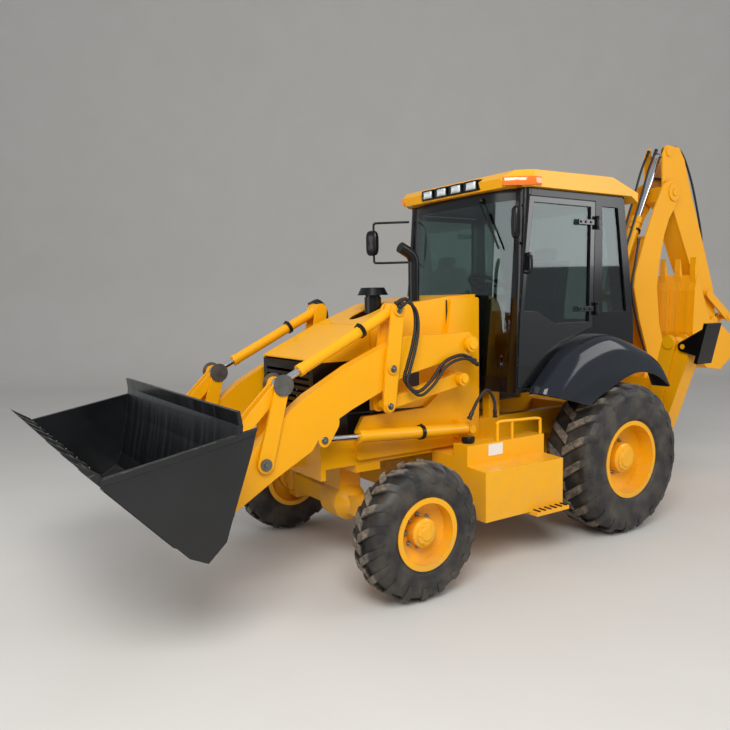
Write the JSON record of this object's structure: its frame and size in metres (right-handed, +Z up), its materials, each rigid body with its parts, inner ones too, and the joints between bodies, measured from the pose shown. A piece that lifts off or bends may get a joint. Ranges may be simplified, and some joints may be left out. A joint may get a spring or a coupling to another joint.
{
  "type": "backhoe loader",
  "caption": "Wheeled digging machine with a toothed loading bucket on parallel-lift arms, a glazed cab, a swinging rear digging arm and two folding side legs.",
  "frame": {"origin": "on the ground below the middle of the whole machine", "axes": "+X the machine's left, +Y its rear (the backhoe), +Z up"},
  "size_m": [2.294, 7.535, 3.6592],
  "materials": {
    "yellow_paint": "gloss machine yellow paint",
    "black_paint": "satin black paint",
    "grey_paint": "gloss dark grey paint",
    "glass": "tinted safety glass",
    "plastic": "moulded black plastic and vinyl",
    "cast_iron": "painted casting",
    "chrome": "hard chrome",
    "steel": "machined steel",
    "tyre": "moulded rubber"
  },
  "bodies": {
    "chassis": {"chassis_frame": "yellow_paint", "engine_block": "cast_iron", "front_grille": "black_paint", "engine_cowl": "yellow_paint", "hood_stacks": "black_paint", "axles": "yellow_paint", "rear_frame": "yellow_paint", "step_tanks": "black_paint", "cab_frame": "grey_paint", "cab_roof": "yellow_paint", "cab_glass": "glass", "cab_fittings": "black_paint", "cab_interior": "plastic", "fenders": "grey_paint"},
    "loader_arms": {"loader_arms": "yellow_paint"},
    "bucket_pivot_pins": {"bucket_pivot_pins": "steel"},
    "loader_bucket": {"loader_bucket": "black_paint"},
    "lift_barrels": {"lift_barrels": "yellow_paint"},
    "lift_rods": {"lift_rods": "chrome"},
    "levelling_levers": {"levelling_levers": "yellow_paint"},
    "levelling_links": {"levelling_links": "yellow_paint"},
    "tilt_barrels": {"tilt_barrels": "yellow_paint"},
    "tilt_rods": {"tilt_rods": "chrome"},
    "dump_pivot_pins": {"dump_pivot_pins": "steel"},
    "dump_levers": {"dump_levers": "yellow_paint"},
    "dump_top_pins": {"dump_top_pins": "steel"},
    "dump_links": {"dump_links": "yellow_paint"},
    "knuckle_left": {"knuckle_left": "yellow_paint"},
    "front_wheel_left": {"front_tyre_left": "tyre", "front_rim_left": "yellow_paint"},
    "rear_wheel_left": {"rear_tyre_left": "tyre", "rear_rim_left": "yellow_paint"},
    "knuckle_right": {"knuckle_right": "yellow_paint"},
    "front_wheel_right": {"front_tyre_right": "tyre", "front_rim_right": "yellow_paint"},
    "rear_wheel_right": {"rear_tyre_right": "tyre", "rear_rim_right": "yellow_paint"},
    "door_left": {"door_left": "grey_paint"},
    "door_right": {"door_right": "grey_paint"},
    "hood": {"hood": "yellow_paint"},
    "swing_post": {"swing_post": "yellow_paint"},
    "boom": {"boom": "yellow_paint"},
    "boom_barrel": {"boom_barrel": "yellow_paint"},
    "boom_rod": {"boom_rod": "chrome"},
    "dipper": {"dipper": "yellow_paint"},
    "dipper_barrel": {"dipper_barrel": "yellow_paint"},
    "dipper_rod": {"dipper_rod": "chrome"},
    "hoe_bucket": {"hoe_bucket": "yellow_paint"},
    "hoe_barrel": {"hoe_barrel": "yellow_paint"},
    "hoe_rod": {"hoe_rod": "chrome"},
    "dipper_links": {"dipper_links": "yellow_paint"},
    "bucket_links": {"bucket_links": "yellow_paint"},
    "stabilizer_leg_left": {"stabilizer_leg_left": "yellow_paint"},
    "stabilizer_pad_left": {"stabilizer_pad_left": "black_paint"},
    "stabilizer_barrel_left": {"stabilizer_barrel_left": "yellow_paint"},
    "stabilizer_rod_left": {"stabilizer_rod_left": "chrome"},
    "stabilizer_leg_right": {"stabilizer_leg_right": "yellow_paint"},
    "stabilizer_pad_right": {"stabilizer_pad_right": "black_paint"},
    "stabilizer_barrel_right": {"stabilizer_barrel_right": "yellow_paint"},
    "stabilizer_rod_right": {"stabilizer_rod_right": "chrome"}
  },
  "joints": [
    {"name": "lift", "type": "hinge", "parent": "chassis", "child": "loader_arms", "pos_m": [0, -0.712, 1.71], "axis": [-1, 0, 0], "range_deg": [-15, 68]},
    {"name": "bucket_parallel", "type": "hinge", "parent": "loader_arms", "child": "bucket_pivot_pins", "pos_m": [0, -2.802, 0.78], "axis": [1, 0, 0], "range_deg": [-17.15, 77.57]},
    {"name": "bucket_tilt", "type": "hinge", "parent": "bucket_pivot_pins", "child": "loader_bucket", "pos_m": [0, -2.802, 0.78], "axis": [1, 0, 0], "range_deg": [0, 85]},
    {"name": "lift_barrel_swing", "type": "hinge", "parent": "chassis", "child": "lift_barrels", "pos_m": [0, -0.672, 1.03], "axis": [-1, 0, 0], "range_deg": [-12.2, 55.13]},
    {"name": "lift_rod_slide", "type": "slide", "parent": "lift_barrels", "child": "lift_rods", "axis": [0, -0.9983, 0.0587], "range_m": [-0.1497, 0.677]},
    {"name": "levelling_lever_swing", "type": "hinge", "parent": "loader_arms", "child": "levelling_levers", "pos_m": [0, -1.472, 1.57], "axis": [1, 0, 0], "range_deg": [-16.55, 74.85]},
    {"name": "levelling_link_swing", "type": "hinge", "parent": "chassis", "child": "levelling_links", "pos_m": [0, -0.792, 1.44], "axis": [-1, 0, 0], "range_deg": [-16.66, 75.33]},
    {"name": "tilt_barrel_swing", "type": "hinge", "parent": "levelling_levers", "child": "tilt_barrels", "pos_m": [0, -1.412, 1.99], "axis": [-1, 0, 0], "range_deg": [-18.2, 82.33]},
    {"name": "tilt_rod_slide", "type": "slide", "parent": "tilt_barrels", "child": "tilt_rods", "axis": [0, -0.8944, -0.4472], "range_m": [0, 0.5583]},
    {"name": "dump_lever_parallel", "type": "hinge", "parent": "loader_arms", "child": "dump_pivot_pins", "pos_m": [0, -2.492, 1.01], "axis": [1, 0, 0], "range_deg": [-13.4, 60.57]},
    {"name": "dump_lever_swing", "type": "hinge", "parent": "dump_pivot_pins", "child": "dump_levers", "pos_m": [0, -2.492, 1.01], "axis": [1, 0, 0], "range_deg": [0, 64.31]},
    {"name": "dump_link_parallel", "type": "hinge", "parent": "dump_levers", "child": "dump_top_pins", "pos_m": [0, -2.352, 1.52], "axis": [-1, 0, 0], "range_deg": [-9.71, 43.84]},
    {"name": "dump_link_swing", "type": "hinge", "parent": "dump_top_pins", "child": "dump_links", "pos_m": [0, -2.352, 1.52], "axis": [-1, 0, 0], "range_deg": [0, 45.87]},
    {"name": "steer_left", "type": "hinge", "parent": "chassis", "child": "knuckle_left", "pos_m": [0.835, -1.532, 0.482], "axis": [0, 0, 1], "range_deg": [-40, 40]},
    {"name": "steer_right", "type": "hinge", "parent": "chassis", "child": "knuckle_right", "pos_m": [-0.835, -1.532, 0.482], "axis": [0, 0, 1], "range_deg": [-40.05, 40.05]},
    {"name": "front_wheel_spin_left", "type": "hinge", "parent": "knuckle_left", "child": "front_wheel_left", "pos_m": [0.972, -1.532, 0.482], "axis": [1, 0, 0], "continuous": true},
    {"name": "rear_wheel_spin_left", "type": "hinge", "parent": "chassis", "child": "rear_wheel_left", "pos_m": [0.8, 0.788, 0.655], "axis": [1, 0, 0], "continuous": true},
    {"name": "front_wheel_spin_right", "type": "hinge", "parent": "knuckle_right", "child": "front_wheel_right", "pos_m": [-0.972, -1.532, 0.482], "axis": [1, 0, 0], "continuous": true},
    {"name": "rear_wheel_spin_right", "type": "hinge", "parent": "chassis", "child": "rear_wheel_right", "pos_m": [-0.8, 0.788, 0.655], "axis": [1, 0, 0], "continuous": true},
    {"name": "door_swing_left", "type": "hinge", "parent": "chassis", "child": "door_left", "pos_m": [0.77, 0.596, 2.3], "axis": [0, 0, 1], "range_deg": [0, 80]},
    {"name": "door_swing_right", "type": "hinge", "parent": "chassis", "child": "door_right", "pos_m": [-0.77, 0.596, 2.3], "axis": [0, 0, -1], "range_deg": [0, 80]},
    {"name": "hood_lift", "type": "hinge", "parent": "chassis", "child": "hood", "pos_m": [0, -1.508, 1.88], "axis": [-1, 0, 0], "range_deg": [0, 70]},
    {"name": "swing", "type": "hinge", "parent": "chassis", "child": "swing_post", "pos_m": [0, 2.318, 0.73], "axis": [0, 0, 1], "range_deg": [-90, 90]},
    {"name": "boom_lift", "type": "hinge", "parent": "swing_post", "child": "boom", "pos_m": [0, 2.568, 0.98], "axis": [-1, 0, 0], "range_deg": [0, 115]},
    {"name": "boom_barrel_swing", "type": "hinge", "parent": "swing_post", "child": "boom_barrel", "pos_m": [0, 2.178, 1.2], "axis": [-1, 0, 0], "range_deg": [0, 113.09]},
    {"name": "boom_rod_slide", "type": "slide", "parent": "boom_barrel", "child": "boom_rod", "axis": [0, -0.4022, 0.9155], "range_m": [0, 0.7552]},
    {"name": "dipper_swing", "type": "hinge", "parent": "boom", "child": "dipper", "pos_m": [0, 2.598, 3.16], "axis": [1, 0, 0], "range_deg": [0, 115]},
    {"name": "dipper_barrel_swing", "type": "hinge", "parent": "boom", "child": "dipper_barrel", "pos_m": [0, 1.798, 2.065], "axis": [1, 0, 0], "range_deg": [0, 4.08]},
    {"name": "dipper_rod_slide", "type": "slide", "parent": "dipper_barrel", "child": "dipper_rod", "axis": [0, 0.4507, 0.8927], "range_m": [-0.7245, 0]},
    {"name": "hoe_bucket_curl", "type": "hinge", "parent": "dipper", "child": "hoe_bucket", "pos_m": [0, 3.468, 1.74], "axis": [1, 0, 0], "range_deg": [0, 120]},
    {"name": "hoe_barrel_swing", "type": "hinge", "parent": "dipper", "child": "hoe_barrel", "pos_m": [0, 2.868, 3], "axis": [1, 0, 0], "range_deg": [0, 14.21]},
    {"name": "hoe_rod_slide", "type": "slide", "parent": "hoe_barrel", "child": "hoe_rod", "axis": [0, 0.578, -0.816], "range_m": [-0.2816, 0]},
    {"name": "dipper_link_swing", "type": "hinge", "parent": "dipper", "child": "dipper_links", "pos_m": [0, 3.308, 2.07], "axis": [1, 0, 0], "range_deg": [0, 52.01]},
    {"name": "bucket_link_swing", "type": "hinge", "parent": "dipper_links", "child": "bucket_links", "pos_m": [0, 3.718, 1.8], "axis": [-1, 0, 0], "range_deg": [0, 47.45]},
    {"name": "stabilizer_swing_left", "type": "hinge", "parent": "chassis", "child": "stabilizer_leg_left", "pos_m": [0.46, 1.868, 0.62], "axis": [0, 1, 0], "range_deg": [0, 100]},
    {"name": "stabilizer_pad_tilt_left", "type": "hinge", "parent": "stabilizer_leg_left", "child": "stabilizer_pad_left", "pos_m": [0.838, 1.868, 1.575], "axis": [0, -1, 0], "range_deg": [-15, 25]},
    {"name": "stabilizer_barrel_swing_left", "type": "hinge", "parent": "chassis", "child": "stabilizer_barrel_left", "pos_m": [0.7, 1.868, 1.61], "axis": [0, -1, 0], "range_deg": [0, 12.55]},
    {"name": "stabilizer_rod_slide_left", "type": "slide", "parent": "stabilizer_barrel_left", "child": "stabilizer_rod_left", "axis": [-0.1969, 0, -0.9804], "range_m": [0, 0.3456]},
    {"name": "stabilizer_swing_right", "type": "hinge", "parent": "chassis", "child": "stabilizer_leg_right", "pos_m": [-0.46, 1.868, 0.62], "axis": [0, -1, 0], "range_deg": [0, 100]},
    {"name": "stabilizer_pad_tilt_right", "type": "hinge", "parent": "stabilizer_leg_right", "child": "stabilizer_pad_right", "pos_m": [-0.838, 1.868, 1.575], "axis": [0, 1, 0], "range_deg": [-15, 25]},
    {"name": "stabilizer_barrel_swing_right", "type": "hinge", "parent": "chassis", "child": "stabilizer_barrel_right", "pos_m": [-0.7, 1.868, 1.61], "axis": [0, 1, 0], "range_deg": [0, 12.55]},
    {"name": "stabilizer_rod_slide_right", "type": "slide", "parent": "stabilizer_barrel_right", "child": "stabilizer_rod_right", "axis": [0.1969, 0, -0.9804], "range_m": [0, 0.3456]}
  ],
  "couplings": [
    {"joint": "bucket_parallel", "follows": "lift", "ratio": 1.14},
    {"joint": "lift_barrel_swing", "follows": "lift", "ratio": 0.81},
    {"joint": "lift_rod_slide", "follows": "lift", "m_per_rad": 0.57},
    {"joint": "levelling_lever_swing", "follows": "lift", "ratio": 1.1},
    {"joint": "levelling_link_swing", "follows": "lift", "ratio": 1.107},
    {"joint": "tilt_barrel_swing", "follows": "lift", "ratio": 1.21},
    {"joint": "tilt_rod_slide", "follows": "bucket_tilt", "m_per_rad": 0.376},
    {"joint": "dump_lever_parallel", "follows": "lift", "ratio": 0.89},
    {"joint": "dump_lever_swing", "follows": "bucket_tilt", "ratio": 0.756},
    {"joint": "dump_link_parallel", "follows": "lift", "ratio": 0.644},
    {"joint": "dump_link_swing", "follows": "bucket_tilt", "ratio": 0.539},
    {"joint": "steer_right", "follows": "steer_left", "ratio": 1},
    {"joint": "boom_barrel_swing", "follows": "boom_lift", "ratio": 0.983},
    {"joint": "boom_rod_slide", "follows": "boom_lift", "m_per_rad": 0.376},
    {"joint": "dipper_barrel_swing", "follows": "dipper_swing", "ratio": 0.035},
    {"joint": "dipper_rod_slide", "follows": "dipper_swing", "m_per_rad": -0.3607},
    {"joint": "hoe_barrel_swing", "follows": "hoe_bucket_curl", "ratio": 0.118},
    {"joint": "hoe_rod_slide", "follows": "hoe_bucket_curl", "m_per_rad": -0.1342},
    {"joint": "dipper_link_swing", "follows": "hoe_bucket_curl", "ratio": 0.433},
    {"joint": "bucket_link_swing", "follows": "hoe_bucket_curl", "ratio": 0.395},
    {"joint": "stabilizer_barrel_swing_left", "follows": "stabilizer_swing_left", "ratio": 0.125},
    {"joint": "stabilizer_rod_slide_left", "follows": "stabilizer_swing_left", "m_per_rad": 0.1977},
    {"joint": "stabilizer_barrel_swing_right", "follows": "stabilizer_swing_right", "ratio": 0.125},
    {"joint": "stabilizer_rod_slide_right", "follows": "stabilizer_swing_right", "m_per_rad": 0.1977}
  ]
}
